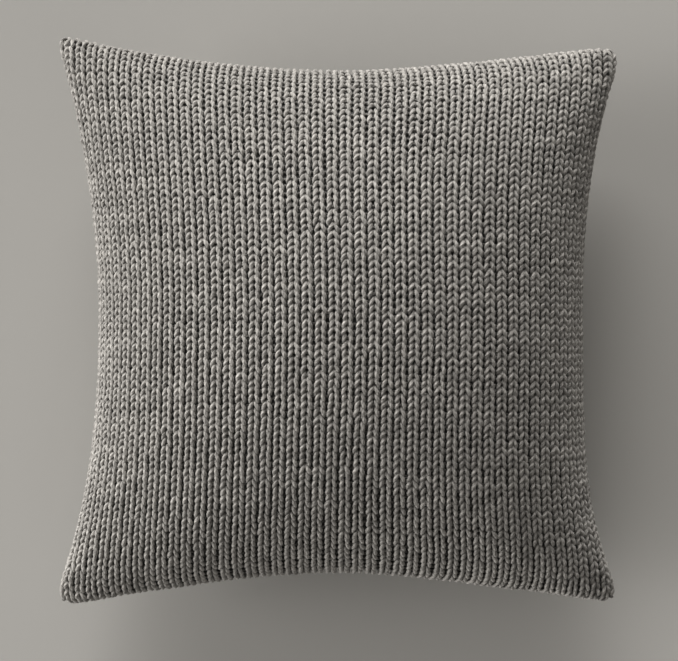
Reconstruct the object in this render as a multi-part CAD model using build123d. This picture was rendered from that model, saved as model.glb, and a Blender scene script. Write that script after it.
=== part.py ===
"""Knitted throw pillow: a lined sweater-knit cover with a zip in its bottom seam, over a filled insert.

The pillow lies on its back. X runs across it, Y from its bottom seam (-Y) to its top seam (+Y) and Z up.
The origin is on the surface that it rests on, under the middle of the cover. Millimetres.
"""
from build123d import *
from math import cos, radians, sin
import os

# ---------------------------------------------------------------- driving dimensions: the cover's outline
# Four corners of the seam line, and how far each side pulls in between its corners.
BOTTOM_LEFT = (-255.0, -258.5)
BOTTOM_RIGHT = (253.0, -255.5)
TOP_LEFT = (-253.0, 258.5)
TOP_RIGHT = (255.0, 249.5)
WAIST_LEFT = 35.0
WAIST_RIGHT = 29.0
WAIST_BOTTOM = 27.0
WAIST_TOP = 27.0

# ---------------------------------------------------------------- driving dimensions: heights
SEAM_Z = 76.0             # height of the seam line above the surface
FRONT_RISE = 94.0         # crown of the front panel above the seam line
BACK_DROP = 92.0          # depth that the back would have if nothing flattened it
EDGE_ANGLE = radians(87)  # slope of both panels where they meet the seam
SEAM_HALF = 1.5           # half the height of the yarn seam between the two panels

# ---------------------------------------------------------------- driving dimensions: fabric layers
KNIT = 5.0                # thickness of the sweater knit
LINING = 0.8
TICKING = 0.7             # the insert's own casing
GAP = 0.4                 # air between one layer and the next
LINING_AT = KNIT + GAP
TICKING_AT = LINING_AT + LINING + GAP
FILL_AT = TICKING_AT + TICKING + 0.3
CLOSING_HALF = 60.0       # half the length of the insert's hand-sewn closing
CLOSING_AT = 20.0         # its middle, along the insert's top side

# ---------------------------------------------------------------- driving dimensions: the zip
ZIP_Y = -217.5            # plane of the tapes
CHAIN_HALF = 148.0        # half the length of the toothed chain
TAPE_TAIL = 14.0          # tape beyond each end of the chain
TAPE_EDGE = 13.0          # tape's outer edge, from the seam line
TAPE_HALF = 0.35
COIL_IN, COIL_OUT = 0.9, 3.0  # each coil's inner and outer edge, from the seam line
COIL_HALF = 1.1           # half the coils' height, across the tapes
STOP_LENGTH = 3.0
STOP_HALF = 1.3
SLOT_HALF = 3.2           # half the height of the slot between the knit's lips
SLOT_REACH = 176.0        # half the length of that slot
CHANNEL_HALF = 14.2       # half the height of the room for the zip, behind the lips
CHANNEL_DEPTH = 4.2       # that room's back wall, behind the plane of the tapes
FACING_DEPTH = 3.2        # inner edge of the facings, behind the plane of the tapes

SLIDER_LENGTH = 12.0
SLIDER_WIDE, SLIDER_NARROW = 4.6, 4.2
PLATE_IN, PLATE_OUT = 1.4, 2.6
FLANGE_IN = 3.45
FLANGE_SLIT = 0.7
POST_HALF = 0.5
BRIDGE_SPAN, BRIDGE_WIDTH, BRIDGE_BAR = 7.0, 1.8, 1.0
BRIDGE_ROOM = 2.0         # height of the window under the bridge

PULL_LENGTH, PULL_WIDTH, PULL_THICK = 25.0, 5.0, 1.2
PULL_EYE_START, PULL_EYE_END, PULL_EYE_WIDTH = 0.6, 4.8, 2.8

SLIDER_X = CHAIN_HALF - STOP_LENGTH - SLIDER_LENGTH / 2 - 0.5
PIVOT_Y = ZIP_Y - PLATE_OUT - BRIDGE_ROOM / 2

# ---------------------------------------------------------------- driving dimensions: small sewn things
STITCH_THICK = 0.4
STITCH_AT = 9.8           # line of stitching on a tape, from the seam line
SEAM_WIDTH = 3.6          # width of the yarn seam, from its outer edge inwards
SEAM_INSET = 0.7          # its outer edge, inside the panels' outer faces
LABEL_WIDTH, LABEL_HEIGHT, LABEL_THICK = 30.0, 24.0, 0.4
LABEL_X = -110.0

BIG = 700.0
PATCH_STEPS = 10          # spans each way in the grid behind a panel's surface


# ---------------------------------------------------------------- the cover's shape
def plan_point(u, v, inset):
    """Point of the seam plane for -1 <= u, v <= 1, with the outline moved in by inset."""
    left, right, low, high = (1 - u) / 2, (1 + u) / 2, (1 - v) / 2, (1 + v) / 2
    corners = ((BOTTOM_LEFT, left * low), (BOTTOM_RIGHT, right * low),
               (TOP_LEFT, left * high), (TOP_RIGHT, right * high))
    x = sum(corner[0] * share for corner, share in corners)
    y = sum(corner[1] * share for corner, share in corners)
    x += (1 - v * v) * (WAIST_LEFT * left - WAIST_RIGHT * right)
    y += (1 - u * u) * (WAIST_BOTTOM * low - WAIST_TOP * high)
    return x - inset * u, y - inset * v


def profile(step):
    """One way across the pillow: place from -1 to 1, and height from 0 at the seam to 1 at the crown."""
    turn = EDGE_ANGLE * step
    return sin(turn) / sin(EDGE_ANGLE), (cos(turn) - cos(EDGE_ANGLE)) / (1 - cos(EDGE_ANGLE))


def dome(inset, rise, base_z):
    """Solid between a crowned surface and the flat plane at base_z. A negative rise hangs down."""
    steps = [2 * k / PATCH_STEPS - 1 for k in range(PATCH_STEPS + 1)]
    height = rise - inset if rise > 0 else rise + inset
    grid = []
    for a in steps:
        u, across = profile(a)
        row = []
        for b in steps:
            v, along = profile(b)
            x, y = plan_point(u, v, inset)
            row.append(Vector(x, y, base_z + height * across * along))
        grid.append(row)
    crown = Face.make_surface_from_array_of_points(grid, tol=0.3, min_deg=3, max_deg=8)
    base = Face(Wire(crown.edges()))
    return Solid(Shell([crown, base]))


def block(x_span, y_span, z_span):
    """Box between two corners, given as (low, high) along each axis."""
    size = [span[1] - span[0] for span in (x_span, y_span, z_span)]
    middle = [(span[1] + span[0]) / 2 for span in (x_span, y_span, z_span)]
    return Pos(*middle) * Box(*size)


def front_dome(inset):
    return dome(inset, FRONT_RISE, SEAM_Z + SEAM_HALF)


def back_dome(inset):
    """The back, cut flat where it rests: each layer's flat lies its own inset above the surface."""
    hanging = dome(inset, -BACK_DROP, SEAM_Z - SEAM_HALF)
    return hanging & block((-BIG, BIG), (-BIG, BIG), (inset, BIG))


def channel(margin=0.0):
    """Room for the zip in the layers behind the knit, with a margin all round."""
    return block((-SLOT_REACH - margin, SLOT_REACH + margin), (-BIG, ZIP_Y + CHANNEL_DEPTH + margin),
                 (SEAM_Z - CHANNEL_HALF - margin, SEAM_Z + CHANNEL_HALF + margin))


def slot():
    """Slot between the lips of the knit, which the zip's pull is reached through."""
    return block((-SLOT_REACH, SLOT_REACH), (-BIG, ZIP_Y), (SEAM_Z - SLOT_HALF, SEAM_Z + SLOT_HALF))


def outline_face(inset):
    """The outline in the XY plane, one curve for each side."""
    steps = [k / 4 - 1 for k in range(9)]
    sides = ([(s, -1) for s in steps], [(1, s) for s in steps],
             [(-s, 1) for s in steps], [(-1, -s) for s in steps])
    edges = [Edge.make_spline([Vector(*plan_point(u, v, inset), 0) for u, v in side]) for side in sides]
    return Face(Wire(edges))


def seam_band(inset, width, half_height):
    """Upright band that follows the outline in the seam, open at the zip."""
    ring = outline_face(inset) - outline_face(inset + width)
    band = extrude(ring, half_height * 2, dir=(0, 0, 1))
    return Pos(0, 0, SEAM_Z - half_height) * band - slot_gap(half_height)


def slot_gap(half_height):
    return block((-SLOT_REACH, SLOT_REACH), (-BIG, 0), (SEAM_Z - half_height - 1, SEAM_Z + half_height + 1))


# ---------------------------------------------------------------- cover
def cover_panels():
    front = front_dome(0) - front_dome(KNIT) - slot()
    back = back_dome(0) - back_dome(KNIT) - slot()
    return {"front_knit_panel": front, "back_knit_panel": back}


def cover_linings():
    front = front_dome(LINING_AT) - front_dome(LINING_AT + LINING) - channel()
    back = back_dome(LINING_AT) - back_dome(LINING_AT + LINING) - channel()
    return {"front_lining": front, "back_lining": back}


def cover_seams():
    """Yarn that joins the two panels, one length to a side, parted on the corners' diagonals."""
    band = seam_band(SEAM_INSET, SEAM_WIDTH, SEAM_HALF)
    wedge_x = Pos(0, 0, SEAM_Z) * extrude(Face(Wire.make_polygon([(0, 0), (BIG, BIG), (BIG, -BIG)])),
                                          2 * SEAM_HALF, both=True)
    turned = {"right_seam_yarn": 0, "top_seam_yarn": 90, "left_seam_yarn": 180, "bottom_seam_yarn": 270}
    return {name: band & (Rot(0, 0, angle) * wedge_x) for name, angle in turned.items()}


def lining_seam():
    return {"lining_seam_thread": seam_band(LINING_AT + 0.1, LINING - 0.2, SEAM_HALF)}


# ---------------------------------------------------------------- insert
def insert_casing():
    front = front_dome(TICKING_AT) - front_dome(TICKING_AT + TICKING) - channel()
    back = back_dome(TICKING_AT) - back_dome(TICKING_AT + TICKING) - channel()
    return {"insert_front_ticking": front, "insert_back_ticking": back}


def insert_fill():
    """Front half, back half and the thin slab between them, each hollowed for the zip and then joined."""
    slab = extrude(outline_face(FILL_AT + 0.5), 2 * SEAM_HALF, dir=(0, 0, 1))
    layers = (front_dome(FILL_AT), Pos(0, 0, SEAM_Z - SEAM_HALF) * slab, back_dome(FILL_AT))
    front, middle, back = [layer - channel(TICKING + 0.3) for layer in layers]
    return {"insert_fill": front + middle + back}


def insert_seams():
    """Seam of the casing, with the stretch that is sewn up by hand after filling."""
    band = seam_band(TICKING_AT + 0.05, TICKING - 0.1, SEAM_HALF)
    hand_sewn = block((CLOSING_AT - CLOSING_HALF, CLOSING_AT + CLOSING_HALF), (0, BIG), (0, BIG))
    return {"insert_seam_thread": band - hand_sewn, "insert_closing_stitch": band & hand_sewn}


# ---------------------------------------------------------------- zip: tapes, chain, stops and stitches
def mirrored(front_piece):
    """The same piece on the other tape, mirrored in the seam plane."""
    return mirror(front_piece, about=Plane.XY.offset(SEAM_Z))


def zip_block(x_span, y_half, z_span):
    """Box centred on the plane of the tapes, with z_span counted from the seam line."""
    return block(x_span, (ZIP_Y - y_half, ZIP_Y + y_half), (SEAM_Z + z_span[0], SEAM_Z + z_span[1]))


def zip_tape():
    reach = CHAIN_HALF + TAPE_TAIL
    return zip_block((-reach, reach), TAPE_HALF, (COIL_OUT, TAPE_EDGE))


def zip_coil():
    """Outer shape of the nylon coil along one tape's inner edge."""
    reach = CHAIN_HALF - STOP_LENGTH
    return zip_block((-reach, reach), COIL_HALF, (COIL_IN, COIL_OUT))


def zip_stops():
    """A stop on each tape at the closed end, and one across both tapes at the open end."""
    closed = zip_block((CHAIN_HALF - STOP_LENGTH, CHAIN_HALF), STOP_HALF, (COIL_IN, COIL_OUT))
    opened = zip_block((-CHAIN_HALF, -CHAIN_HALF + STOP_LENGTH), STOP_HALF, (-COIL_OUT, COIL_OUT))
    return {"zipper_closed_end_stops": Compound(children=[closed, mirrored(closed)]),
            "zipper_open_end_stop": opened}


def zip_stitching():
    """Line of stitching along the tape, on the face that looks into the cover."""
    y = ZIP_Y + TAPE_HALF
    height = SEAM_Z + STITCH_AT
    return block((-CHAIN_HALF, CHAIN_HALF), (y, y + STITCH_THICK), (height, height + STITCH_THICK))


def zip_facings():
    """Strips of lining turned in over the tapes' outer edges, one above the zip and one below it."""
    reach = CHAIN_HALF + TAPE_TAIL
    strip = block((-reach, reach), (-BIG, ZIP_Y + FACING_DEPTH),
                  (SEAM_Z + TAPE_EDGE, SEAM_Z + TAPE_EDGE + LINING))
    return {"front_zipper_facing": strip & front_dome(LINING_AT),
            "back_zipper_facing": mirrored(strip) & back_dome(LINING_AT)}


# ---------------------------------------------------------------- zip: slider and pull
def slider():
    """Two plates with flanges, joined by the post that parts the chain, with a bridge for the pull."""
    half = SLIDER_LENGTH / 2
    outline = Wire.make_polygon([Vector(-half, 0, -SLIDER_NARROW), Vector(-half, 0, SLIDER_NARROW),
                                 Vector(half - 2, 0, SLIDER_WIDE), Vector(half, 0, SLIDER_WIDE - 1.2),
                                 Vector(half, 0, 1.2 - SLIDER_WIDE), Vector(half - 2, 0, -SLIDER_WIDE)])
    body = extrude(Face(outline), PLATE_OUT, dir=(0, 1, 0), both=True)
    body = fillet(body.edges().filter_by(Axis.Y), 0.8)
    body = body - Box(2 * SLIDER_LENGTH, 2 * PLATE_IN, 2 * FLANGE_IN)
    body = body - Box(2 * SLIDER_LENGTH, 2 * FLANGE_SLIT, 3 * SLIDER_WIDE)
    post = Pos(half - 3.5, 0, 0) * Box(3.0, 2 * PLATE_IN, 2 * POST_HALF)
    top = -PLATE_OUT - BRIDGE_ROOM - BRIDGE_BAR
    arch = Pos(0, (top - PLATE_OUT) / 2, 0) * Box(BRIDGE_SPAN, -PLATE_OUT - top, BRIDGE_WIDTH)
    arch = fillet(arch.edges().filter_by(Axis.Z).sort_by(Axis.Y)[:2], 0.9)
    window = Pos(0, -PLATE_OUT - BRIDGE_ROOM / 2, 0) * Box(BRIDGE_SPAN - 2.0, BRIDGE_ROOM, 2 * BRIDGE_WIDTH)
    return Pos(SLIDER_X, ZIP_Y, SEAM_Z) * (body + post + (arch - window))


def pull():
    """Flat tab that lies along the chain, with an eye round the slider's bridge."""
    plate = Pos(-PULL_LENGTH / 2 + PULL_EYE_START, 0, 0) * Box(PULL_LENGTH, PULL_THICK, PULL_WIDTH)
    plate = fillet(plate.edges().filter_by(Axis.Y).sort_by(Axis.X)[:2], 2.0)
    eye = Pos(-(PULL_EYE_START + PULL_EYE_END) / 2, 0, 0) * Box(PULL_EYE_END - PULL_EYE_START,
                                                                 2 * PULL_THICK, PULL_EYE_WIDTH)
    finger_hole = Pos(-PULL_LENGTH + 6.0, 0, 0) * Rot(90, 0, 0) * Cylinder(1.0, 2 * PULL_THICK)
    tab = plate - eye - finger_hole
    return Pos(SLIDER_X, PIVOT_Y, SEAM_Z) * tab


# ---------------------------------------------------------------- label
def care_label():
    """Blank satin label, folded double, that hangs from the front facing behind the zip."""
    y = ZIP_Y + FACING_DEPTH
    top = SEAM_Z + TAPE_EDGE + LINING
    return {"care_label": block((LABEL_X - LABEL_WIDTH / 2, LABEL_X + LABEL_WIDTH / 2), (y, y + LABEL_THICK),
                                (top - LABEL_HEIGHT, top))}


def build():
    nodes = {}
    for group in (cover_panels, cover_linings, cover_seams, lining_seam, insert_casing, insert_fill,
                  insert_seams, zip_facings, zip_stops, care_label):
        nodes.update(group())
    for name, piece in (("tape", zip_tape()), ("coil", zip_coil()), ("stitching", zip_stitching())):
        nodes["front_zipper_" + name] = piece
        nodes["back_zipper_" + name] = mirrored(piece)
    nodes["zipper_slider"] = slider()
    nodes["zipper_pull"] = pull()
    return nodes


os.makedirs("parts", exist_ok=True)
for node_name, solid in build().items():
    export_step(solid, "parts/" + node_name + ".step")
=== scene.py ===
"""Looks of the knitted throw pillow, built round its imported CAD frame. Metres, +Z up, lying on its back.

The cover's form follows its outline and is settled as cloth. Both knit panels are real yarn: each course is
one tube that loops through the courses beside it, laid over that form.
"""

import math

import bpy
import numpy as np
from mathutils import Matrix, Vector


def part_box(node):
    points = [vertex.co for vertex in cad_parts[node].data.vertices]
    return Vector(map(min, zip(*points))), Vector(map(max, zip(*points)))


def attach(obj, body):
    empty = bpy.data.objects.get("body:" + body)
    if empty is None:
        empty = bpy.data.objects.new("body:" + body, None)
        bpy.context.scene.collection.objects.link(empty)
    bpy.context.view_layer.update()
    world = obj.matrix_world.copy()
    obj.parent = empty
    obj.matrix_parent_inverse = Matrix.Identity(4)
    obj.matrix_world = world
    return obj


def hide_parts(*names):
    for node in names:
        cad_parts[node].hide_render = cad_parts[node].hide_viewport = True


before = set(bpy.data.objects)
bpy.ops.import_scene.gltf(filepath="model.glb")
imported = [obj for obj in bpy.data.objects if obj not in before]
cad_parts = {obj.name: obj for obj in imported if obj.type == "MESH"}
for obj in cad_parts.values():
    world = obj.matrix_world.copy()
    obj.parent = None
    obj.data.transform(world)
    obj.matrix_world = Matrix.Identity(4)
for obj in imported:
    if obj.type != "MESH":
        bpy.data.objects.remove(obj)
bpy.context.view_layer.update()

MM = 0.001
TINY = 1e-9                # keeps a division clear of zero

# ---------------------------------------------------------------- sizes taken from the frame
FRONT_LOW, FRONT_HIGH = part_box("front_knit_panel")
_, BACK_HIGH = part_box("back_knit_panel")
SEAM_Z = (FRONT_LOW.z + BACK_HIGH.z) / 2
CROWN_Z = FRONT_HIGH.z
X_LOW, X_HIGH = FRONT_LOW.x, FRONT_HIGH.x
Y_LOW, Y_HIGH = FRONT_LOW.y, FRONT_HIGH.y
TAPE_LOW, TAPE_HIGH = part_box("front_zipper_tape")
ZIP_HALF = TAPE_HIGH.x

# ---------------------------------------------------------------- the knit's gauge
WALES = 45                 # columns of stitches across a panel
COURSES = 80               # rows of stitches up a panel
PANEL = 508 * MM           # a panel's width and height, laid flat
WALE = PANEL / WALES
YARN_R = 1.55 * MM
LOOP_DEPTH = 1.6 * MM      # how far a loop's legs stand in front of the middle of the knit
LOOP_PEAK = 0.3            # how sharply a leg dives behind its neighbours
LEG_SWELL = 0.18           # how much thicker the yarn is in a leg's middle than on average
LOOP_SHINGLE = 0.85 * MM   # how far a leg's lower end stands in front of the leg that it comes out from
LOOP_LEAN = 0.2            # sideways swing of the yarn in a loop, in wales
LOOP_OPEN = 0.028          # how far a loop's two legs stand apart beyond half a wale, in wales
CENTRE_STRETCH = 0.03      # how much wider the columns are in the middle of a panel
LOOP_REACH = 0.93          # half the height of a loop, in courses
TUCKED_PAINTED_SHADE = 0.48         # painted shade: how much the yarn's colour is darkened where it is tucked under other yarn, in place of the shadow there
# Painted shade along a leg: height of its lightest place, where 1 is a loop's lower end and -1 its upper, how
# far from there the leg keeps its own colour, and over how much the painted shade then darkens it.
LEG_MIDDLE, LEG_LIGHT, LEG_FADE = 0.13, 0.3, 0.5
RING_SIDES = 7             # points round a yarn
LOOP_STEPS = 16            # points along a loop
BANDS = 5                  # pieces that a panel's courses are shared between
KNIT_HALF = LOOP_DEPTH + YARN_R
# How unevenly the yarn runs: over how many points of it each thing wanders, and by how much.
UNEVEN = {
    "lean": (6, 0.12),
    "lean of a course": (40, 0.05),
    "opening": (10, 0.5),
    "across": (5, 0.24 * MM),
    "column": (9, 0.35 * MM),
    "loop height": (5, 0.05),
    "course height": (30, 0.3 * MM),
    "depth": (6, 0.16 * MM),
    "thickness": (7, 0.05),
    "tone": (4, 0.1),
    "tone of a course": (60, 0.035),
    "lacing tone": (6, 0.06),
}

# ---------------------------------------------------------------- stray fibres
FIBRES = 7000              # on a panel, before those near the zip are left out
FIBRE_R = 0.045 * MM
FIBRE_LENGTH = (2.2, 5.0)  # shortest and longest before they curl, in millimetres
FIBRE_STEPS = 4            # points along a fibre
FIBRE_SIDES = 3
FIBRE_ROOTS = 0.75         # how far from a loop's middle fibres grow, as a share of half its height
FIBRE_OUTWARD = 1.3        # how strongly they point out of the knit
FIBRE_CURL = 0.45
CLEAR_OF_ZIP = 14 * MM

# ---------------------------------------------------------------- the cover's outline
# How far each corner stands in from the corner of the CAD box (out from it if negative), and how blunt it is:
# a smaller power is blunter.
CORNERS = {
    (-1, -1): (-15 * MM, -12 * MM, 18),
    (1, -1): (-14 * MM, -8 * MM, 18),
    (-1, 1): (-8 * MM, -8 * MM, 40),
    (1, 1): (-11 * MM, 1.5 * MM, 24),
}
# How far each side pulls in, and the power of its curve towards its lower or left end and its other end.
WAIST = {
    "left": (45.5 * MM, 2.5, 1.85),
    "right": (43 * MM, 3.6, 2.4),
    "bottom": (37.5 * MM, 1.8, 1.5),
    "top": (31 * MM, 2.1, 1.45),
}
PULL_DEPTH = 2.5           # power with which that pull fades towards the opposite side
BLUNT_REACH = 6            # power with which a corner's bluntness fades towards the middle
FORM_STEPS = 61            # points each way in the form behind a panel
SPACING_PASSES = 4         # passes that even out the spacing of those points
EDGE_ANGLE = math.radians(87)
BACK_DEPTH = 92 * MM       # depth of the back before it is pressed flat
SEAM_GAP = YARN_R + 0.3 * MM
SLOT_GAP = YARN_R + 3.4 * MM
LIP_PAST_ZIP = 8 * MM      # how far past the zip's ends the slot's lips meet
LIP_FADE = 14 * MM         # length over which they come together before that
SEAM_TUCK = 3.2 * MM       # how far the seams are drawn in
TUCK_WIDTH = 5 * MM        # width of that tuck
TUCK_FROM_CORNER = 40 * MM  # length from a corner over which the tuck sets in
REST_SOFT = 5 * MM         # softness of the bend where the back comes down to rest
# How steeply the columns lean in towards the middle where they meet the bottom and top seams.
SEAM_LEAN = {(-1, -1): 0.16, (1, -1): 0.38, (-1, 1): 0.30, (1, 1): 0.44}
LEAN_DEPTH = 42 * MM

rng = np.random.default_rng(20)


def four_corners(u, v):
    """Weights of the four corners at a point of the square -1..1."""
    left, right, low, high = (1 - u) / 2, (1 + u) / 2, (1 - v) / 2, (1 + v) / 2
    return {(-1, -1): left * low, (1, -1): right * low, (-1, 1): left * high, (1, 1): right * high}


def corner_point(i, j):
    dx, dy, _ = CORNERS[(i, j)]
    x = X_LOW + dx if i < 0 else X_HIGH - dx
    y = Y_LOW + dy if j < 0 else Y_HIGH - dy
    return x, y


def pulled_in(side, place):
    """How far a side stands in from the line between its corners, at a place from -1 to 1 along it."""
    depth, first, second = WAIST[side]
    return depth * (1 - np.abs(place) ** np.where(place < 0, first, second))


def plan(u, v, inset):
    """Outline map: points of the square -1..1 to the pillow's plan, moved in by inset."""
    share = four_corners(u, v)
    power = sum(share[c] * CORNERS[c][2] for c in CORNERS)
    reach = np.maximum(np.abs(u), np.abs(v))
    norm = (np.abs(u) ** power + np.abs(v) ** power) ** (1 / power)
    blunt = 1 - (1 - reach / np.maximum(norm, TINY)) * reach ** BLUNT_REACH
    u, v = u * blunt, v * blunt
    share = four_corners(u, v)
    x = sum(share[c] * corner_point(*c)[0] for c in CORNERS)
    y = sum(share[c] * corner_point(*c)[1] for c in CORNERS)
    left, right, low, high = [(1 + w) / 2 for w in (-u, u, -v, v)]
    x = x + pulled_in("left", v) * left ** PULL_DEPTH
    x = x - pulled_in("right", v) * right ** PULL_DEPTH - inset * u
    y = y + pulled_in("bottom", u) * low ** PULL_DEPTH
    y = y - pulled_in("top", u) * high ** PULL_DEPTH - inset * v
    return x, y


def along_zip(x, v):
    """1 where the bottom edge is a lip of the zip's slot, 0 elsewhere, and a smooth step between."""
    inside = np.clip((ZIP_HALF + LIP_PAST_ZIP - np.abs(x)) / LIP_FADE, 0, 1)
    return np.where(v < 0, inside * inside * (3 - 2 * inside), 0)


def gap_at_seam(x, v):
    """Half the distance between the two panels' edges: wider along the zip."""
    return SEAM_GAP + (SLOT_GAP - SEAM_GAP) * along_zip(x, v)


def panel_form(side):
    """Grid of points of a panel before it is blown up: side is 1 for the front and -1 for the back."""
    turn = np.linspace(-EDGE_ANGLE, EDGE_ANGLE, FORM_STEPS)
    place = np.sin(turn) / math.sin(EDGE_ANGLE)
    lift = (np.cos(turn) - math.cos(EDGE_ANGLE)) / (1 - math.cos(EDGE_ANGLE))
    u, v = np.meshgrid(place, place, indexing="ij")
    height = lift[:, None] * lift[None, :]
    x, y = plan(u, v, KNIT_HALF)
    rise = CROWN_Z - SEAM_Z - KNIT_HALF if side > 0 else BACK_DEPTH - KNIT_HALF
    z = SEAM_Z + side * (gap_at_seam(x, v) * (1 - height) + rise * height)
    grid = np.stack([x, y, z], -1)
    for _ in range(SPACING_PASSES):
        grid = even_spacing(grid, 0)
        grid = even_spacing(grid, 1)
    return grid


def even_spacing(grid, axis):
    """Slides the points along their own lines until they are evenly spaced, as stitches are."""
    lines = np.moveaxis(grid, axis, 0)
    step = np.linalg.norm(np.diff(lines, axis=0), axis=-1)
    run = np.concatenate([np.zeros((1,) + step.shape[1:]), np.cumsum(step, 0)])
    run /= run[-1]
    even = np.linspace(0, 1, len(lines))
    out = np.empty_like(lines)
    for k in range(lines.shape[1]):
        for c in range(3):
            out[:, k, c] = np.interp(even, run[:, k], lines[:, k, c])
    return np.moveaxis(out, 0, axis)


# ---------------------------------------------------------------- meshes from arrays
def new_mesh(name, points, quads, smooth=True):
    """Object from an array of points and an array of four-cornered faces."""
    mesh = bpy.data.meshes.new(name)
    points = np.asarray(points, np.float32)
    quads = np.asarray(quads, np.int32)
    mesh.vertices.add(len(points))
    mesh.vertices.foreach_set("co", points.ravel())
    mesh.loops.add(quads.size)
    mesh.loops.foreach_set("vertex_index", quads.ravel())
    mesh.polygons.add(len(quads))
    mesh.polygons.foreach_set("loop_start", np.arange(0, quads.size, 4, dtype=np.int32))
    mesh.update(calc_edges=True)
    mesh.polygons.foreach_set("use_smooth", np.full(len(quads), smooth))
    mesh.validate()
    obj = bpy.data.objects.new(name, mesh)
    bpy.context.scene.collection.objects.link(obj)
    return obj


def grid_quads(rows, columns, start=0, flip=False):
    """Faces of a grid of rows by columns points, numbered row by row from start."""
    index = start + np.arange(rows * columns).reshape(rows, columns)
    quads = np.stack([index[:-1, :-1], index[1:, :-1], index[1:, 1:], index[:-1, 1:]], -1).reshape(-1, 4)
    return quads[:, ::-1] if flip else quads


def float_attribute(obj, name, values):
    attribute = obj.data.attributes.new(name, "FLOAT", "POINT")
    attribute.data.foreach_set("value", np.asarray(values, np.float32).ravel())


def vector_attribute(obj, name, values):
    attribute = obj.data.attributes.new(name, "FLOAT_VECTOR", "POINT")
    attribute.data.foreach_set("vector", np.asarray(values, np.float32).ravel())


# ---------------------------------------------------------------- the cover's form, settled as cloth
SIM_FRAMES = 20
SIM_PRESSURE = 4.0
SIM_MOST = 24 * MM         # most that a point of the form may move


def boundary_ring(n):
    """Numbers of a grid's edge points, once round."""
    index = np.arange(n * n).reshape(n, n)
    return np.concatenate([index[:-1, 0], index[-1, :-1], index[:0:-1, -1], index[0, :0:-1]])


def blow_up(front, back):
    """Settles the closed cover as cloth under its own air pressure, held at its seams."""
    n = FORM_STEPS
    points = np.concatenate([front.reshape(-1, 3), back.reshape(-1, 3)])
    ring = boundary_ring(n)
    after = np.roll(ring, -1)
    bridge = np.stack([ring, after, after + n * n, ring + n * n], -1)
    quads = np.concatenate([grid_quads(n, n), grid_quads(n, n, n * n, flip=True), bridge[:, ::-1]])
    form = new_mesh("cover_form", points, quads)
    held = form.vertex_groups.new(name="seam")
    held.add([int(k) for k in ring] + [int(k) + n * n for k in ring], 1.0, "REPLACE")
    cloth = form.modifiers.new("cloth", "CLOTH")
    settings = cloth.settings
    settings.quality = 6
    settings.mass = 0.25
    settings.tension_stiffness = settings.compression_stiffness = 25
    settings.shear_stiffness = 12
    settings.bending_stiffness = 1.5
    settings.use_pressure = True
    settings.uniform_pressure_force = SIM_PRESSURE
    settings.vertex_group_mass = "seam"
    settings.effector_weights.gravity = 0
    cloth.collision_settings.use_collision = False
    cloth.point_cache.frame_start, cloth.point_cache.frame_end = 1, SIM_FRAMES
    for step in range(1, SIM_FRAMES + 1):
        bpy.context.scene.frame_set(step)
    blown = form.evaluated_get(bpy.context.evaluated_depsgraph_get()).to_mesh()
    moved = np.empty(len(points) * 3, np.float32)
    blown.vertices.foreach_get("co", moved)
    bpy.context.scene.frame_set(1)
    bpy.data.objects.remove(form)
    shift = moved.reshape(-1, 3) - points
    far = np.linalg.norm(shift, axis=1, keepdims=True)
    shift *= np.minimum(1, SIM_MOST / np.maximum(far, TINY))
    points = points + shift
    print("cover blown up, most moved", round(float(far.max() / MM), 1), "mm")
    return points[:n * n].reshape(n, n, 3), points[n * n:].reshape(n, n, 3)


def settle(front, back):
    """Brings the crown to its real height, presses the back flat where it rests, and tucks the seams in."""
    lift = front[..., 2] - SEAM_Z
    front[..., 2] = SEAM_Z + lift * (CROWN_Z - KNIT_HALF - SEAM_Z) / lift.max()
    above = back[..., 2] - KNIT_HALF
    back[..., 2] = KNIT_HALF + REST_SOFT * np.logaddexp(0, above / REST_SOFT)
    for grid in (front, back):
        n = len(grid)
        steps = np.arange(n)
        near = np.minimum(steps, n - 1 - steps) * PANEL / (n - 1)
        inward = np.sign((n - 1) / 2 - steps)
        tuck = SEAM_TUCK * np.exp(-(near / TUCK_WIDTH) ** 2) * inward
        from_corner = np.clip(near / TUCK_FROM_CORNER, 0, 1)
        held = 1 - along_zip(grid[:, 0, 0], -1)[:, None] * (steps < n / 2)
        grid[..., 0] += tuck[:, None] * from_corner[None, :]
        grid[..., 1] += tuck[None, :] * from_corner[:, None] * held
    return front, back


def cubic(f):
    """Weights of four neighbours for a smooth line through them, and their slopes."""
    w = (-0.5 * f ** 3 + f ** 2 - 0.5 * f, 1.5 * f ** 3 - 2.5 * f ** 2 + 1,
         -1.5 * f ** 3 + 2 * f ** 2 + 0.5 * f, 0.5 * f ** 3 - 0.5 * f ** 2)
    d = (-1.5 * f ** 2 + 2 * f - 0.5, 4.5 * f ** 2 - 5 * f,
         -4.5 * f ** 2 + 4 * f + 0.5, 1.5 * f ** 2 - f)
    return w, d


def on_form(grid, s, t):
    """Points and outward normals of a panel's form where its cloth is s across and t up, both 0 to 1."""
    n = len(grid)
    before, after = 2 * grid[:1] - grid[1:2], 2 * grid[-1:] - grid[-2:-1]
    padded = np.concatenate([before, grid, after])
    before, after = 2 * padded[:, :1] - padded[:, 1:2], 2 * padded[:, -1:] - padded[:, -2:-1]
    padded = np.concatenate([before, padded, after], 1)
    x, y = np.clip(s, 0, 1) * (n - 1), np.clip(t, 0, 1) * (n - 1)
    i, j = np.minimum(x.astype(int), n - 2), np.minimum(y.astype(int), n - 2)
    (wx, dx), (wy, dy) = cubic(x - i), cubic(y - j)
    point = along = up = 0
    for a in range(4):
        for b in range(4):
            near = padded[i + a, j + b]
            point = point + near * (wx[a] * wy[b])[..., None]
            along = along + near * (dx[a] * wy[b])[..., None]
            up = up + near * (wx[a] * dy[b])[..., None]
    normal = np.cross(along, up)
    normal /= np.linalg.norm(normal, axis=-1, keepdims=True)
    return point, normal


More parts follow.
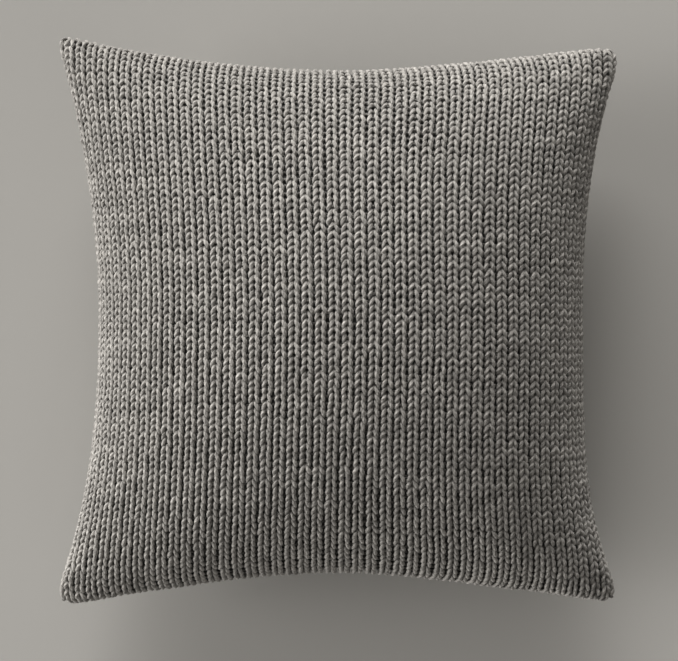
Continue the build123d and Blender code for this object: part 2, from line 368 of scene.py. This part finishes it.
# ---------------------------------------------------------------- yarn
YARN_SHIFT = 0.37          # how far the pattern of fibres moves on from one yarn to the next, in metres


def wander(shape, reach, strength):
    """Smooth random wandering along the last axis, of standard deviation strength."""
    noise = rng.standard_normal(shape)
    spread = np.exp(-0.5 * (np.arange(-3 * reach, 3 * reach + 1) / reach) ** 2)
    spread /= np.sqrt((spread ** 2).sum())
    flat = noise.reshape(-1, shape[-1])
    smooth = np.array([np.convolve(line, spread, "same") for line in flat])
    return strength * smooth.reshape(shape)


def tubes(paths, normals, radius, sides=RING_SIDES):
    """Points, faces, length along and turn about tubes, for rows of points with a side direction each."""
    rows, steps, _ = paths.shape
    run = np.gradient(paths, axis=1)
    run /= np.linalg.norm(run, axis=-1, keepdims=True)
    up = normals - (normals * run).sum(-1, keepdims=True) * run
    up /= np.linalg.norm(up, axis=-1, keepdims=True)
    across = np.cross(run, up)
    angle = np.arange(sides) * 2 * math.pi / sides
    round_it = across[:, :, None] * np.cos(angle)[:, None] + up[:, :, None] * np.sin(angle)[:, None]
    points = paths[:, :, None] + round_it * np.asarray(radius)[..., None, None]
    index = np.arange(rows * steps * sides).reshape(rows, steps, sides)
    ahead = np.roll(index, -1, axis=2)
    quads = np.stack([index[:, :-1], ahead[:, :-1], ahead[:, 1:], index[:, 1:]], -1).reshape(-1, 4)
    step = np.linalg.norm(np.diff(paths, axis=1), axis=-1)
    along = np.concatenate([np.zeros((rows, 1)), np.cumsum(step, 1)], 1)
    return points.reshape(-1, 3), quads, along, angle


def close_ends(points, quads, rows, steps, sides):
    """Adds a point in each tube's two mouths, and four-cornered faces that close them."""
    ends, faces = [], []
    count = len(points)
    for r in range(rows):
        for first, flip in ((r * steps * sides, False), ((r * steps + steps - 1) * sides, True)):
            ring = first + np.arange(sides)
            ends.append(points[ring].mean(0))
            for k in range(0, sides - 1, 2):
                a, b, c = ring[k], ring[k + 1], ring[(k + 2) % sides]
                faces.append([count, a, b, c] if flip else [count, c, b, a])
            count += 1
    return np.concatenate([points, ends]), np.concatenate([quads, faces]), len(ends)


def yarn_piece(name, paths, normals, radius, tone, sides=RING_SIDES):
    """Object of several yarns, with the attributes that their material reads."""
    rows, steps, _ = paths.shape
    radius = np.broadcast_to(radius, paths.shape[:2])
    points, quads, along, angle = tubes(paths, normals, radius, sides)
    yarn = np.empty((rows, steps, sides, 3))
    yarn[..., 0] = along[:, :, None] + np.arange(rows)[:, None, None] * YARN_SHIFT
    yarn[..., 1] = np.cos(angle)
    yarn[..., 2] = np.sin(angle)
    # tone: the yarn's random tone, and for the knit also the painted shade where its yarn is tucked under
    # other yarn
    tones = np.broadcast_to(tone[:, :, None], (rows, steps, sides)).reshape(-1)
    points, quads, added = close_ends(points, quads, rows, steps, sides)
    obj = new_mesh(name, points, quads)
    vector_attribute(obj, "yarn", np.concatenate([yarn.reshape(-1, 3), np.zeros((added, 3))]))
    float_attribute(obj, "tone", np.concatenate([tones, np.ones(added)]))
    return obj


def cloth_place(across, up):
    """Where a point of the flat knit lies on the form, as shares of the form's width and height."""
    s, t = across / PANEL, up / PANEL
    s = s - CENTRE_STRETCH / (2 * math.pi) * np.sin(2 * math.pi * s)
    lean = 0
    for (i, j), slope in SEAM_LEAN.items():
        half = np.clip(i * (s - 0.5) * 6 + 0.5, 0, 1)
        off = (t if j < 0 else 1 - t) * PANEL
        lean = lean + half * slope * off * np.exp(-off / LEAN_DEPTH)
    return s - lean / PANEL * np.sin(2 * math.pi * s), t


def knit_courses(grid, side):
    """Paths of every course of a panel, bottom to top, with the way out of the knit at each point."""
    steps = WALES * LOOP_STEPS + 1
    shape = (COURSES, steps)
    turn = np.linspace(0, 2 * math.pi * WALES, steps)
    course = PANEL / COURSES
    edge = LOOP_REACH * course
    middle = edge + np.arange(COURSES) * (PANEL - 2 * edge) / (COURSES - 1)
    lean = LOOP_LEAN * (1 + wander(shape, *UNEVEN["lean"]) + wander(shape, *UNEVEN["lean of a course"]))
    open_by = LOOP_OPEN * (1 + wander(shape, *UNEVEN["opening"]))
    across = WALE * (turn / (2 * math.pi) + lean * np.sin(2 * turn) - open_by * np.sin(turn))
    across = across + wander(shape, *UNEVEN["across"])
    across = across + wander((1, COURSES * 3), *UNEVEN["column"])[:, COURSES:2 * COURSES].T
    up = middle[:, None] - LOOP_REACH * course * (1 + wander(shape, *UNEVEN["loop height"])) * np.cos(turn)
    up = up + wander(shape, *UNEVEN["course height"])
    arch = (LOOP_PEAK * np.cos(4 * turn) - np.cos(2 * turn)) / (1 + LOOP_PEAK)
    out = LOOP_SHINGLE * np.cos(turn) + LOOP_DEPTH * arch + wander(shape, *UNEVEN["depth"])
    point, normal = on_form(grid, *cloth_place(across, up))
    normal = normal * side
    return point + normal * out[..., None], normal


def stray_fibres(name, paths, normals, near_turn):
    """Short fibres that stand off the yarn at random places in the legs, clear of the zip."""
    legs = np.flatnonzero(np.abs(np.cos(near_turn)) < FIBRE_ROOTS)
    course = rng.integers(0, len(paths), FIBRES)
    place = rng.choice(legs, FIBRES)
    root, way = paths[course, place], normals[course, place]
    clear = (root[:, 1] > TAPE_HIGH.y + CLEAR_OF_ZIP) | (np.abs(root[:, 0]) > ZIP_HALF + CLEAR_OF_ZIP)
    root, way = root[clear], way[clear]
    aim = rng.standard_normal(root.shape) + FIBRE_OUTWARD * way
    aim /= np.linalg.norm(aim, axis=1, keepdims=True)
    curl = rng.standard_normal(root.shape) * FIBRE_CURL
    length = rng.uniform(*FIBRE_LENGTH, len(root)) * MM
    run = np.linspace(0, 1, FIBRE_STEPS)[None, :, None]
    path = root[:, None] + (aim[:, None] * run + curl[:, None] * run * run) * length[:, None, None]
    path[..., 2] = np.maximum(path[..., 2], 2 * FIBRE_R)
    across = np.cross(aim, rng.standard_normal(root.shape))
    across = np.broadcast_to(across[:, None], path.shape)
    points, quads, _, _ = tubes(path, across, np.full(path.shape[:2], FIBRE_R), FIBRE_SIDES)
    return new_mesh(name, points, quads)


def knit_panel(grid, side, name):
    """One panel's courses, as bands of neighbouring courses, and the stray fibres that stand off them."""
    paths, normals = knit_courses(grid, side)
    rows, steps, _ = paths.shape
    turn = np.linspace(0, 2 * math.pi * WALES, steps)
    swell = 1 - LEG_SWELL * np.cos(2 * turn)
    radius = YARN_R * swell * (1 + wander((rows, steps), *UNEVEN["thickness"]))
    tone = 1 + wander((rows, steps), *UNEVEN["tone"]) + wander((rows, steps), *UNEVEN["tone of a course"])
    # painted shade: the yarn's colour darkens towards a loop's ends, where it is tucked under other yarn
    painted_shade = np.clip((np.abs(np.cos(turn) - LEG_MIDDLE) - LEG_LIGHT) / LEG_FADE, 0, 1)
    tone = tone * (1 - TUCKED_PAINTED_SHADE * painted_shade * painted_shade * (3 - 2 * painted_shade))
    bands = []
    for k, members in enumerate(np.array_split(np.arange(rows), BANDS)):
        bands.append(yarn_piece(f"{name}_courses_{k + 1}", paths[members], normals[members], radius[members],
                                tone[members]))
    return bands, stray_fibres(name + "_stray_fibres", paths, normals, turn)


# ---------------------------------------------------------------- materials
def material(name):
    made = bpy.data.materials.new(name)
    made.use_nodes = True
    nodes = made.node_tree.nodes
    return made, nodes, made.node_tree.links, nodes["Principled BSDF"]


def math_node(nodes, links, operation, *values):
    node = nodes.new("ShaderNodeMath")
    node.operation = operation
    for socket, value in zip(node.inputs, values):
        if isinstance(value, (int, float)):
            socket.default_value = value
        else:
            links.new(value, socket)
    return node.outputs[0]


def ramp_node(nodes, links, factor, stops):
    node = nodes.new("ShaderNodeValToRGB")
    for element, (place, color) in zip(node.color_ramp.elements, (stops[0], stops[-1])):
        element.position, element.color = place, (*color, 1)
    for place, color in stops[1:-1]:
        element = node.color_ramp.elements.new(place)
        element.color = (*color, 1)
    links.new(factor, node.inputs["Fac"])
    return node.outputs["Color"]


YARN_TWIST = 2 * math.pi / (13 * MM)
PLIES = 3
YARN_DARK = (0.18, 0.170, 0.158)
YARN_LIGHT = (0.44, 0.424, 0.400)
YARN_MIDDLE = tuple(0.5 * (dark + light) for dark, light in zip(YARN_DARK, YARN_LIGHT))
FIBRE_ALONG = 160.0        # how finely the pattern of fibres runs along a yarn, and round it
FIBRE_ROUND = 1.1
PLY_SHADE = 0.05           # painted shade: how much the colour is darkened in the grooves between the yarn's plies


def yarn_material():
    """Plied yarn: fibres and plies wind round it, light and dark fibres are mixed along it, and painted shade
    darkens the grooves between plies and, through the tone attribute, the places where the yarn is tucked.
    """
    made, nodes, links, shader = material("heathered_yarn")
    yarn = nodes.new("ShaderNodeAttribute")
    yarn.attribute_name = "yarn"
    parts = nodes.new("ShaderNodeSeparateXYZ")
    links.new(yarn.outputs["Vector"], parts.inputs[0])
    along, c, s = parts.outputs
    turn = math_node(nodes, links, "ARCTAN2", s, c)
    wound = math_node(nodes, links, "MULTIPLY_ADD", along, YARN_TWIST, turn)
    ply = math_node(nodes, links, "COSINE", math_node(nodes, links, "MULTIPLY", wound, PLIES))
    place = nodes.new("ShaderNodeCombineXYZ")
    links.new(math_node(nodes, links, "MULTIPLY", along, FIBRE_ALONG), place.inputs[0])
    for socket, operation in ((1, "COSINE"), (2, "SINE")):
        around = math_node(nodes, links, operation, wound)
        links.new(math_node(nodes, links, "MULTIPLY", around, FIBRE_ROUND), place.inputs[socket])
    fibre = nodes.new("ShaderNodeTexNoise")
    fibre.inputs["Scale"].default_value = 2.2
    fibre.inputs["Detail"].default_value = 4
    fibre.inputs["Roughness"].default_value = 0.65
    links.new(place.outputs[0], fibre.inputs["Vector"])
    stops = [(0.34, YARN_DARK), (0.5, YARN_MIDDLE), (0.66, YARN_LIGHT)]
    mixed = ramp_node(nodes, links, fibre.outputs["Fac"], stops)
    # the tone attribute: random tone, with painted shade where the knit's yarn is tucked under other yarn
    tone = nodes.new("ShaderNodeAttribute")
    tone.attribute_name = "tone"
    # painted shade in the grooves between plies
    ply_shade = math_node(nodes, links, "MULTIPLY_ADD", ply, PLY_SHADE, 1 - PLY_SHADE)
    shade = math_node(nodes, links, "MULTIPLY", tone.outputs["Fac"], ply_shade)
    scaled = nodes.new("ShaderNodeVectorMath")
    scaled.operation = "SCALE"
    links.new(mixed, scaled.inputs[0])
    links.new(shade, scaled.inputs["Scale"])
    links.new(scaled.outputs[0], shader.inputs["Base Color"])
    height = math_node(nodes, links, "MULTIPLY_ADD", fibre.outputs["Fac"], 2.2, ply)
    bump = nodes.new("ShaderNodeBump")
    bump.inputs["Strength"].default_value = 0.8
    bump.inputs["Distance"].default_value = 0.18 * MM
    links.new(height, bump.inputs["Height"])
    links.new(bump.outputs[0], shader.inputs["Normal"])
    shader.inputs["Roughness"].default_value = 0.92
    shader.inputs["Specular IOR Level"].default_value = 0.2
    shader.inputs["Sheen Weight"].default_value = 0.5
    shader.inputs["Sheen Roughness"].default_value = 0.6
    shader.inputs["Sheen Tint"].default_value = (0.8, 0.78, 0.75, 1)
    return made


def put(obj, made, body="pillow"):
    """Gives a new piece its material and its body."""
    obj.data.materials.clear()
    obj.data.materials.append(made)
    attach(obj, body)


# ---------------------------------------------------------------- seams, lining and insert
ZIP_Y = (TAPE_LOW.y + TAPE_HIGH.y) / 2
LINING_OFF = KNIT_HALF - 0.2 * MM     # middle of the knit to the lining
TICKING_OFF = LINING_OFF + 1.5 * MM
FILL_OFF = TICKING_OFF + 1.2 * MM
INSERT_BACK = 4.6 * MM                # the insert stays this far behind the zip's tapes
ZIP_ROOM = 26 * MM                    # how far past the zip's ends that has wholly stopped
ZIP_ROOM_FADE = 12 * MM               # length over which it stops
ZIP_ROOM_HIGH = 24 * MM               # the same two, above and below the zip
ZIP_ROOM_HIGH_FADE = 8 * MM
SIDES = {
    "left": lambda w: (-np.ones_like(w), w),
    "right": lambda w: (np.ones_like(w), w),
    "bottom": lambda w: (w, -np.ones_like(w)),
    "top": lambda w: (w, np.ones_like(w)),
}


def offset_grid(grid, side, off, steps=121, rim=0.4 * MM, behind_zip=False):
    """Points of a layer that lies off inside a panel's middle, with its rim that far from the seam plane."""
    place = np.linspace(0, 1, steps)
    s, t = np.meshgrid(place, place, indexing="ij")
    point, normal = on_form(grid, s, t)
    point = point - normal * side * off
    edge = np.zeros((steps, steps), bool)
    edge[[0, -1], :] = edge[:, [0, -1]] = True
    opening = 0 if behind_zip else along_zip(point[..., 0], t - 0.5) * (SLOT_GAP - SEAM_GAP)
    point[..., 2] = np.where(edge, SEAM_Z + side * (rim + opening), point[..., 2])
    if behind_zip:
        x, y, z = np.moveaxis(point, -1, 0)
        near = np.clip((ZIP_HALF + ZIP_ROOM - np.abs(x)) / ZIP_ROOM_FADE, 0, 1)
        near = near * np.clip((ZIP_ROOM_HIGH - np.abs(z - SEAM_Z)) / ZIP_ROOM_HIGH_FADE, 0, 1)
        short = np.maximum(ZIP_Y + INSERT_BACK + off - TICKING_OFF - y, 0) * (t < 0.5)
        point[..., 1] = y + near * short
    return point


def sheet_mesh(name, grid, side, thick):
    """Open sheet of a grid of points, given a real thickness."""
    n = len(grid)
    obj = new_mesh(name, grid.reshape(-1, 3), grid_quads(n, n, flip=side < 0))
    layer = obj.modifiers.new("thickness", "SOLIDIFY")
    layer.thickness = thick
    layer.offset = -1
    return obj


def closed_mesh(name, front, back):
    """Closed form of two grids whose edges meet."""
    n = len(front)
    ring = boundary_ring(n)
    after = np.roll(ring, -1)
    bridge = np.stack([ring, after, after + n * n, ring + n * n], -1)
    quads = np.concatenate([grid_quads(n, n), grid_quads(n, n, n * n, flip=True), bridge[:, ::-1]])
    return new_mesh(name, np.concatenate([front.reshape(-1, 3), back.reshape(-1, 3)]), quads)


def seam_line(side, first, last, inset, steps):
    """Points along one side's seam line and the outward direction there."""
    place = np.linspace(first, last, steps)
    fine = np.linspace(first, last, 400)
    x, y = plan(*SIDES[side](fine), inset)
    run = np.concatenate([[0], np.cumsum(np.hypot(np.diff(x), np.diff(y)))])
    even = np.linspace(0, run[-1], steps)
    x, y = np.interp(even, run, x), np.interp(even, run, y)
    line = np.stack([x, y, np.full(steps, SEAM_Z)], -1)
    out = np.cross(np.gradient(line, axis=0), (0, 0, 1))
    out /= np.linalg.norm(out, axis=1, keepdims=True)
    flip = -1 if side in ("left", "top") else 1
    return line, out * flip, run[-1]


def lacing(name, stretches, inset, reach_out, reach_up, pitch, radius, per_turn=10, sides=6):
    """Yarn or thread wound along seam lines. A stretch is a side with its first and last place."""
    paths, normals = [], []
    longest = max(seam_line(side, a, b, inset, 9)[2] for side, a, b in stretches)
    steps = int(longest / pitch * per_turn)
    for side, a, b in stretches:
        line, out, length = seam_line(side, a, b, inset, steps)
        turn = np.linspace(0, 2 * math.pi * length / pitch, steps)[:, None]
        paths.append(line + out * reach_out * np.cos(turn) + np.array([0, 0, reach_up]) * np.sin(turn))
        normals.append(out * np.cos(turn) + np.array([0, 0, 1.0]) * np.sin(turn))
    tone = 1 + wander((len(paths), steps), *UNEVEN["lacing tone"])
    return yarn_piece(name, np.array(paths), np.array(normals), radius, tone, sides)


def weave_material(name, color, pitch, roughness=0.85, bump_depth=0.12 * MM):
    """Plain-woven cloth: two crossed sets of threads, with uneven thread colour."""
    made, nodes, links, shader = material(name)
    place = nodes.new("ShaderNodeTexCoord").outputs["Object"]
    waves = []
    for axis in ("X", "Y", "Z"):
        wave = nodes.new("ShaderNodeTexWave")
        wave.bands_direction = axis
        wave.inputs["Scale"].default_value = 0.314 / pitch
        wave.inputs["Distortion"].default_value = 0.6
        wave.inputs["Detail"].default_value = 1
        links.new(place, wave.inputs["Vector"])
        waves.append(wave.outputs["Fac"])
    crossed = math_node(nodes, links, "MULTIPLY", waves[0], waves[1])
    high = math_node(nodes, links, "MAXIMUM", crossed, waves[2])
    noise = nodes.new("ShaderNodeTexNoise")
    noise.inputs["Scale"].default_value = 900
    noise.inputs["Detail"].default_value = 3
    links.new(place, noise.inputs["Vector"])
    threads = math_node(nodes, links, "MULTIPLY", high, 0.4)
    blend = math_node(nodes, links, "MULTIPLY_ADD", noise.outputs["Fac"], 0.6, threads)
    shade = ramp_node(nodes, links, blend, [(0.2, tuple(0.72 * c for c in color)), (0.8, color)])
    links.new(shade, shader.inputs["Base Color"])
    bump = nodes.new("ShaderNodeBump")
    bump.inputs["Strength"].default_value = 0.7
    bump.inputs["Distance"].default_value = bump_depth
    links.new(blend, bump.inputs["Height"])
    links.new(bump.outputs[0], shader.inputs["Normal"])
    shader.inputs["Roughness"].default_value = roughness
    shader.inputs["Sheen Weight"].default_value = 0.15
    return made


def grain_material(name, color, scale, depth, roughness=0.9, metallic=0.0, stretch=(1, 1, 1), spread=0.25):
    """Solid stuff with a fine grain: fill, thread, plastic or brushed metal."""
    made, nodes, links, shader = material(name)
    place = nodes.new("ShaderNodeTexCoord").outputs["Object"]
    mapping = nodes.new("ShaderNodeMapping")
    mapping.inputs["Scale"].default_value = stretch
    links.new(place, mapping.inputs["Vector"])
    noise = nodes.new("ShaderNodeTexNoise")
    noise.inputs["Scale"].default_value = scale
    noise.inputs["Detail"].default_value = 4
    links.new(mapping.outputs[0], noise.inputs["Vector"])
    darker = tuple((1 - spread) * c for c in color)
    shade = ramp_node(nodes, links, noise.outputs["Fac"], [(0.3, darker), (0.7, color)])
    links.new(shade, shader.inputs["Base Color"])
    bump = nodes.new("ShaderNodeBump")
    bump.inputs["Strength"].default_value = 0.5
    bump.inputs["Distance"].default_value = depth
    links.new(noise.outputs["Fac"], bump.inputs["Height"])
    links.new(bump.outputs[0], shader.inputs["Normal"])
    shader.inputs["Roughness"].default_value = roughness
    shader.inputs["Metallic"].default_value = metallic
    return made


# ---------------------------------------------------------------- making the object
front_form, back_form = panel_form(1), panel_form(-1)
front_form, back_form = blow_up(front_form, back_form)
front_form, back_form = settle(front_form, back_form)
FORMS = {"front": (front_form, 1), "back": (back_form, -1)}

YARN = yarn_material()
FIBRE, _, _, fibre_shader = material("stray_fibre")
fibre_shader.inputs["Base Color"].default_value = (0.38, 0.366, 0.345, 1)
fibre_shader.inputs["Roughness"].default_value = 0.9
# the lining's charcoal is partly its own colour and partly painted shade: it is kept this dark so the gaps
# between stitches read as deep shadow
LINING = weave_material("charcoal_lining", (0.11, 0.108, 0.105), 0.5 * MM)
TICKING = weave_material("cotton_ticking", (0.74, 0.71, 0.65), 0.5 * MM)
TAPE = weave_material("zip_tape", (0.23, 0.225, 0.215), 0.7 * MM)
LABEL = weave_material("satin_label", (0.82, 0.81, 0.78), 0.3 * MM, roughness=0.45)
THREAD = grain_material("sewing_thread", (0.09, 0.09, 0.092), 4000, 0.05 * MM)
TICKING_THREAD = grain_material("ticking_thread", (0.8, 0.78, 0.72), 4000, 0.05 * MM)
FILL = grain_material("polyester_fill", (0.86, 0.86, 0.85), 160, 1.5 * MM)
COIL = grain_material("zip_coil", (0.36, 0.35, 0.335), 2500, 0.03 * MM, roughness=0.45)
METAL = grain_material("brushed_steel", (0.56, 0.56, 0.55), 1500, 0.01 * MM, roughness=0.34, metallic=1.0,
                       stretch=(0.05, 1, 1), spread=0.12)

for panel, (form, side) in FORMS.items():
    bands, fibres = knit_panel(form, side, panel + "_knit")
    put(fibres, FIBRE)
    for band in bands:
        put(band, YARN)
        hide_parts(panel + "_knit_panel")
    lining = sheet_mesh(panel + "_lining_sheet", offset_grid(form, side, LINING_OFF), side, 0.6 * MM)
    put(lining, LINING)
    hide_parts(panel + "_lining")
    casing = sheet_mesh(f"insert_{panel}_casing", offset_grid(form, side, TICKING_OFF, behind_zip=True), side,
                        0.5 * MM)
    put(casing, TICKING)
    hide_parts(f"insert_{panel}_ticking")

fill = closed_mesh("insert_stuffing", offset_grid(front_form, 1, FILL_OFF, behind_zip=True),
                   offset_grid(back_form, -1, FILL_OFF, behind_zip=True))
put(fill, FILL)
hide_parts("insert_fill")

ZIP_PLACE = (ZIP_HALF + 10 * MM) / X_HIGH
SEAM_IN = KNIT_HALF + SEAM_TUCK - 0.6 * MM
STRETCHES = {
    "left": [("left", -0.97, 0.97)],
    "right": [("right", -0.97, 0.97)],
    "top": [("top", -0.97, 0.97)],
    "bottom": [("bottom", -0.97, -ZIP_PLACE), ("bottom", ZIP_PLACE, 0.97)],
}
for name, stretches in STRETCHES.items():
    lace = lacing(name + "_seam_lacing", stretches, SEAM_IN, reach_out=1.5 * MM, reach_up=SEAM_GAP + 0.6 * MM,
                  pitch=8 * MM, radius=1.35 * MM)
    put(lace, YARN)
    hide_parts(name + "_seam_yarn")

ALL_ROUND = [(side, -0.96, 0.96) for side in ("left", "right", "top")] + [
    ("bottom", -0.96, -ZIP_PLACE), ("bottom", ZIP_PLACE, 0.96)]
THREAD_SIZES = dict(reach_out=0.3 * MM, reach_up=0.9 * MM, pitch=3.2 * MM, radius=0.2 * MM,
                    per_turn=5, sides=4)
lining_thread = lacing("lining_seam_stitches", ALL_ROUND, LINING_OFF + SEAM_TUCK + 2 * MM, **THREAD_SIZES)
put(lining_thread, THREAD)
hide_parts("lining_seam_thread")
INSERT_ROUND = [(side, -0.95, 0.95) for side in ("left", "right")] + [
    ("top", -0.95, 0.0), ("top", 0.4, 0.95),
    ("bottom", -0.95, -ZIP_PLACE - 0.1), ("bottom", ZIP_PLACE + 0.1, 0.95)]
insert_thread = lacing("insert_seam_stitches", INSERT_ROUND, TICKING_OFF + SEAM_TUCK + 2 * MM, **THREAD_SIZES)
put(insert_thread, TICKING_THREAD)
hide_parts("insert_seam_thread")
closing = lacing("insert_closing_lace", [("top", -0.16, 0.32)], TICKING_OFF + SEAM_TUCK + 1 * MM,
                 reach_out=0.8 * MM, reach_up=1.4 * MM, pitch=5 * MM, radius=0.3 * MM, per_turn=8, sides=4)
put(closing, TICKING_THREAD)
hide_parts("insert_closing_stitch")

# ---------------------------------------------------------------- the zip
COIL_PITCH = 1.6 * MM
WIRE_R = 0.28 * MM
COIL_STEPS = 9             # points along a turn of a coil
STITCH_PITCH = 3.1 * MM
STITCH_LONG = 2.4 * MM
STITCH_START = 0.4 * MM    # clear length before the first stitch
STITCH_END = 2.8 * MM      # room kept for the last one
STITCH_BACK = 0.12 * MM    # how far a stitch's ends stand behind the middle of the CAD's line of stitching
STITCH_BOW = 0.14 * MM
for panel, (_, side) in FORMS.items():
    low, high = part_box(panel + "_zipper_coil")
    turns = (high.x - low.x - 2 * WIRE_R) / COIL_PITCH
    turn = np.linspace(0, 2 * math.pi * turns, int(turns * COIL_STEPS))
    reach = (high.z - low.z) / 2 - WIRE_R
    depth = (high.y - low.y) / 2 - WIRE_R
    path = np.stack([low.x + WIRE_R + COIL_PITCH * turn / (2 * math.pi),
                     (low.y + high.y) / 2 + depth * np.sin(turn),
                     (low.z + high.z) / 2 + reach * np.cos(turn)], -1)
    normal = np.stack([np.zeros_like(turn), np.sin(turn), np.cos(turn)], -1)
    coil = yarn_piece(panel + "_zipper_spiral", path[None], normal[None], WIRE_R, np.ones((1, len(turn))), 5)
    put(coil, COIL)
    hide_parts(panel + "_zipper_coil")

    low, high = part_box(panel + "_zipper_stitching")
    starts = np.arange(low.x + STITCH_START, high.x - STITCH_END, STITCH_PITCH)
    along = np.linspace(0, 1, 5)
    path = np.empty((len(starts), 5, 3))
    path[..., 0] = starts[:, None] + along * STITCH_LONG
    path[..., 1] = (low.y + high.y) / 2 + STITCH_BACK - STITCH_BOW * np.sin(math.pi * along)
    path[..., 2] = (low.z + high.z) / 2
    normal = np.broadcast_to([0, 0, 1.0], path.shape)
    stitches = yarn_piece(panel + "_zipper_stitches", path, normal, 0.16 * MM, np.ones(path.shape[:2]), 5)
    put(stitches, THREAD)
    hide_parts(panel + "_zipper_stitching")

CAD_FINISH = {
    "front_zipper_facing": TAPE, "back_zipper_facing": TAPE,
    "front_zipper_tape": TAPE, "back_zipper_tape": TAPE,
    "zipper_closed_end_stops": METAL, "zipper_open_end_stop": METAL,
    "zipper_slider": METAL, "zipper_pull": METAL, "care_label": LABEL,
}
for name, made in CAD_FINISH.items():
    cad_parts[name].data.materials.clear()
    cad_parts[name].data.materials.append(made)

# ---------------------------------------------------------------- floor, light and camera
FLOOR_HALF = 9
floor_corners = [(FLOOR_HALF * i, FLOOR_HALF * j, 0) for i, j in ((-1, -1), (1, -1), (1, 1), (-1, 1))]
floor = new_mesh("floor", floor_corners, [(0, 1, 2, 3)], smooth=False)
floor_made, _, _, floor_shader = material("floor")
floor_shader.inputs["Base Color"].default_value = (0.44, 0.43, 0.41, 1)
floor_shader.inputs["Roughness"].default_value = 0.85
floor.data.materials.append(floor_made)


def soft_light(name, toward, strength, angle, color):
    """Broad, distant light that comes from one direction."""
    data = bpy.data.lights.new(name, "SUN")
    data.energy, data.angle, data.color = strength, math.radians(angle), color
    obj = bpy.data.objects.new(name, data)
    bpy.context.scene.collection.objects.link(obj)
    obj.location = toward
    obj.rotation_euler = Vector(toward).to_track_quat("Z", "Y").to_euler()


DAYLIGHT = (1.0, 0.985, 0.96)
soft_light("window", toward=(-0.36, 1.8, 0.32), strength=6.5, angle=44, color=DAYLIGHT)
soft_light("side", toward=(-1.8, 0.0, 0.32), strength=4.5, angle=40, color=DAYLIGHT)
soft_light("fill", toward=(1.5, -1.5, 1.0), strength=0.32, angle=60, color=(1.0, 0.97, 0.93))
world = bpy.data.worlds.new("studio")
world.use_nodes = True
world.node_tree.nodes["Background"].inputs["Color"].default_value = (1.0, 0.96, 0.9, 1)
world.node_tree.nodes["Background"].inputs["Strength"].default_value = 0.15
bpy.context.scene.world = world
bpy.context.scene.view_settings.view_transform = "Standard"

IMAGE_WIDE = 678
SEAM_SCALE = 0.915 * MM    # width of a pixel at the height of the seam
CAMERA_UP = 1.8
CAMERA_Y = -0.009
SENSOR_WIDE = 36
camera_data = bpy.data.cameras.new("camera")
camera = bpy.data.objects.new("camera", camera_data)
bpy.context.scene.collection.objects.link(camera)
camera_data.sensor_width = SENSOR_WIDE
camera_data.lens = SENSOR_WIDE * CAMERA_UP / (IMAGE_WIDE * SEAM_SCALE)
camera.location = (0, CAMERA_Y, SEAM_Z + CAMERA_UP)
bpy.context.scene.camera = camera
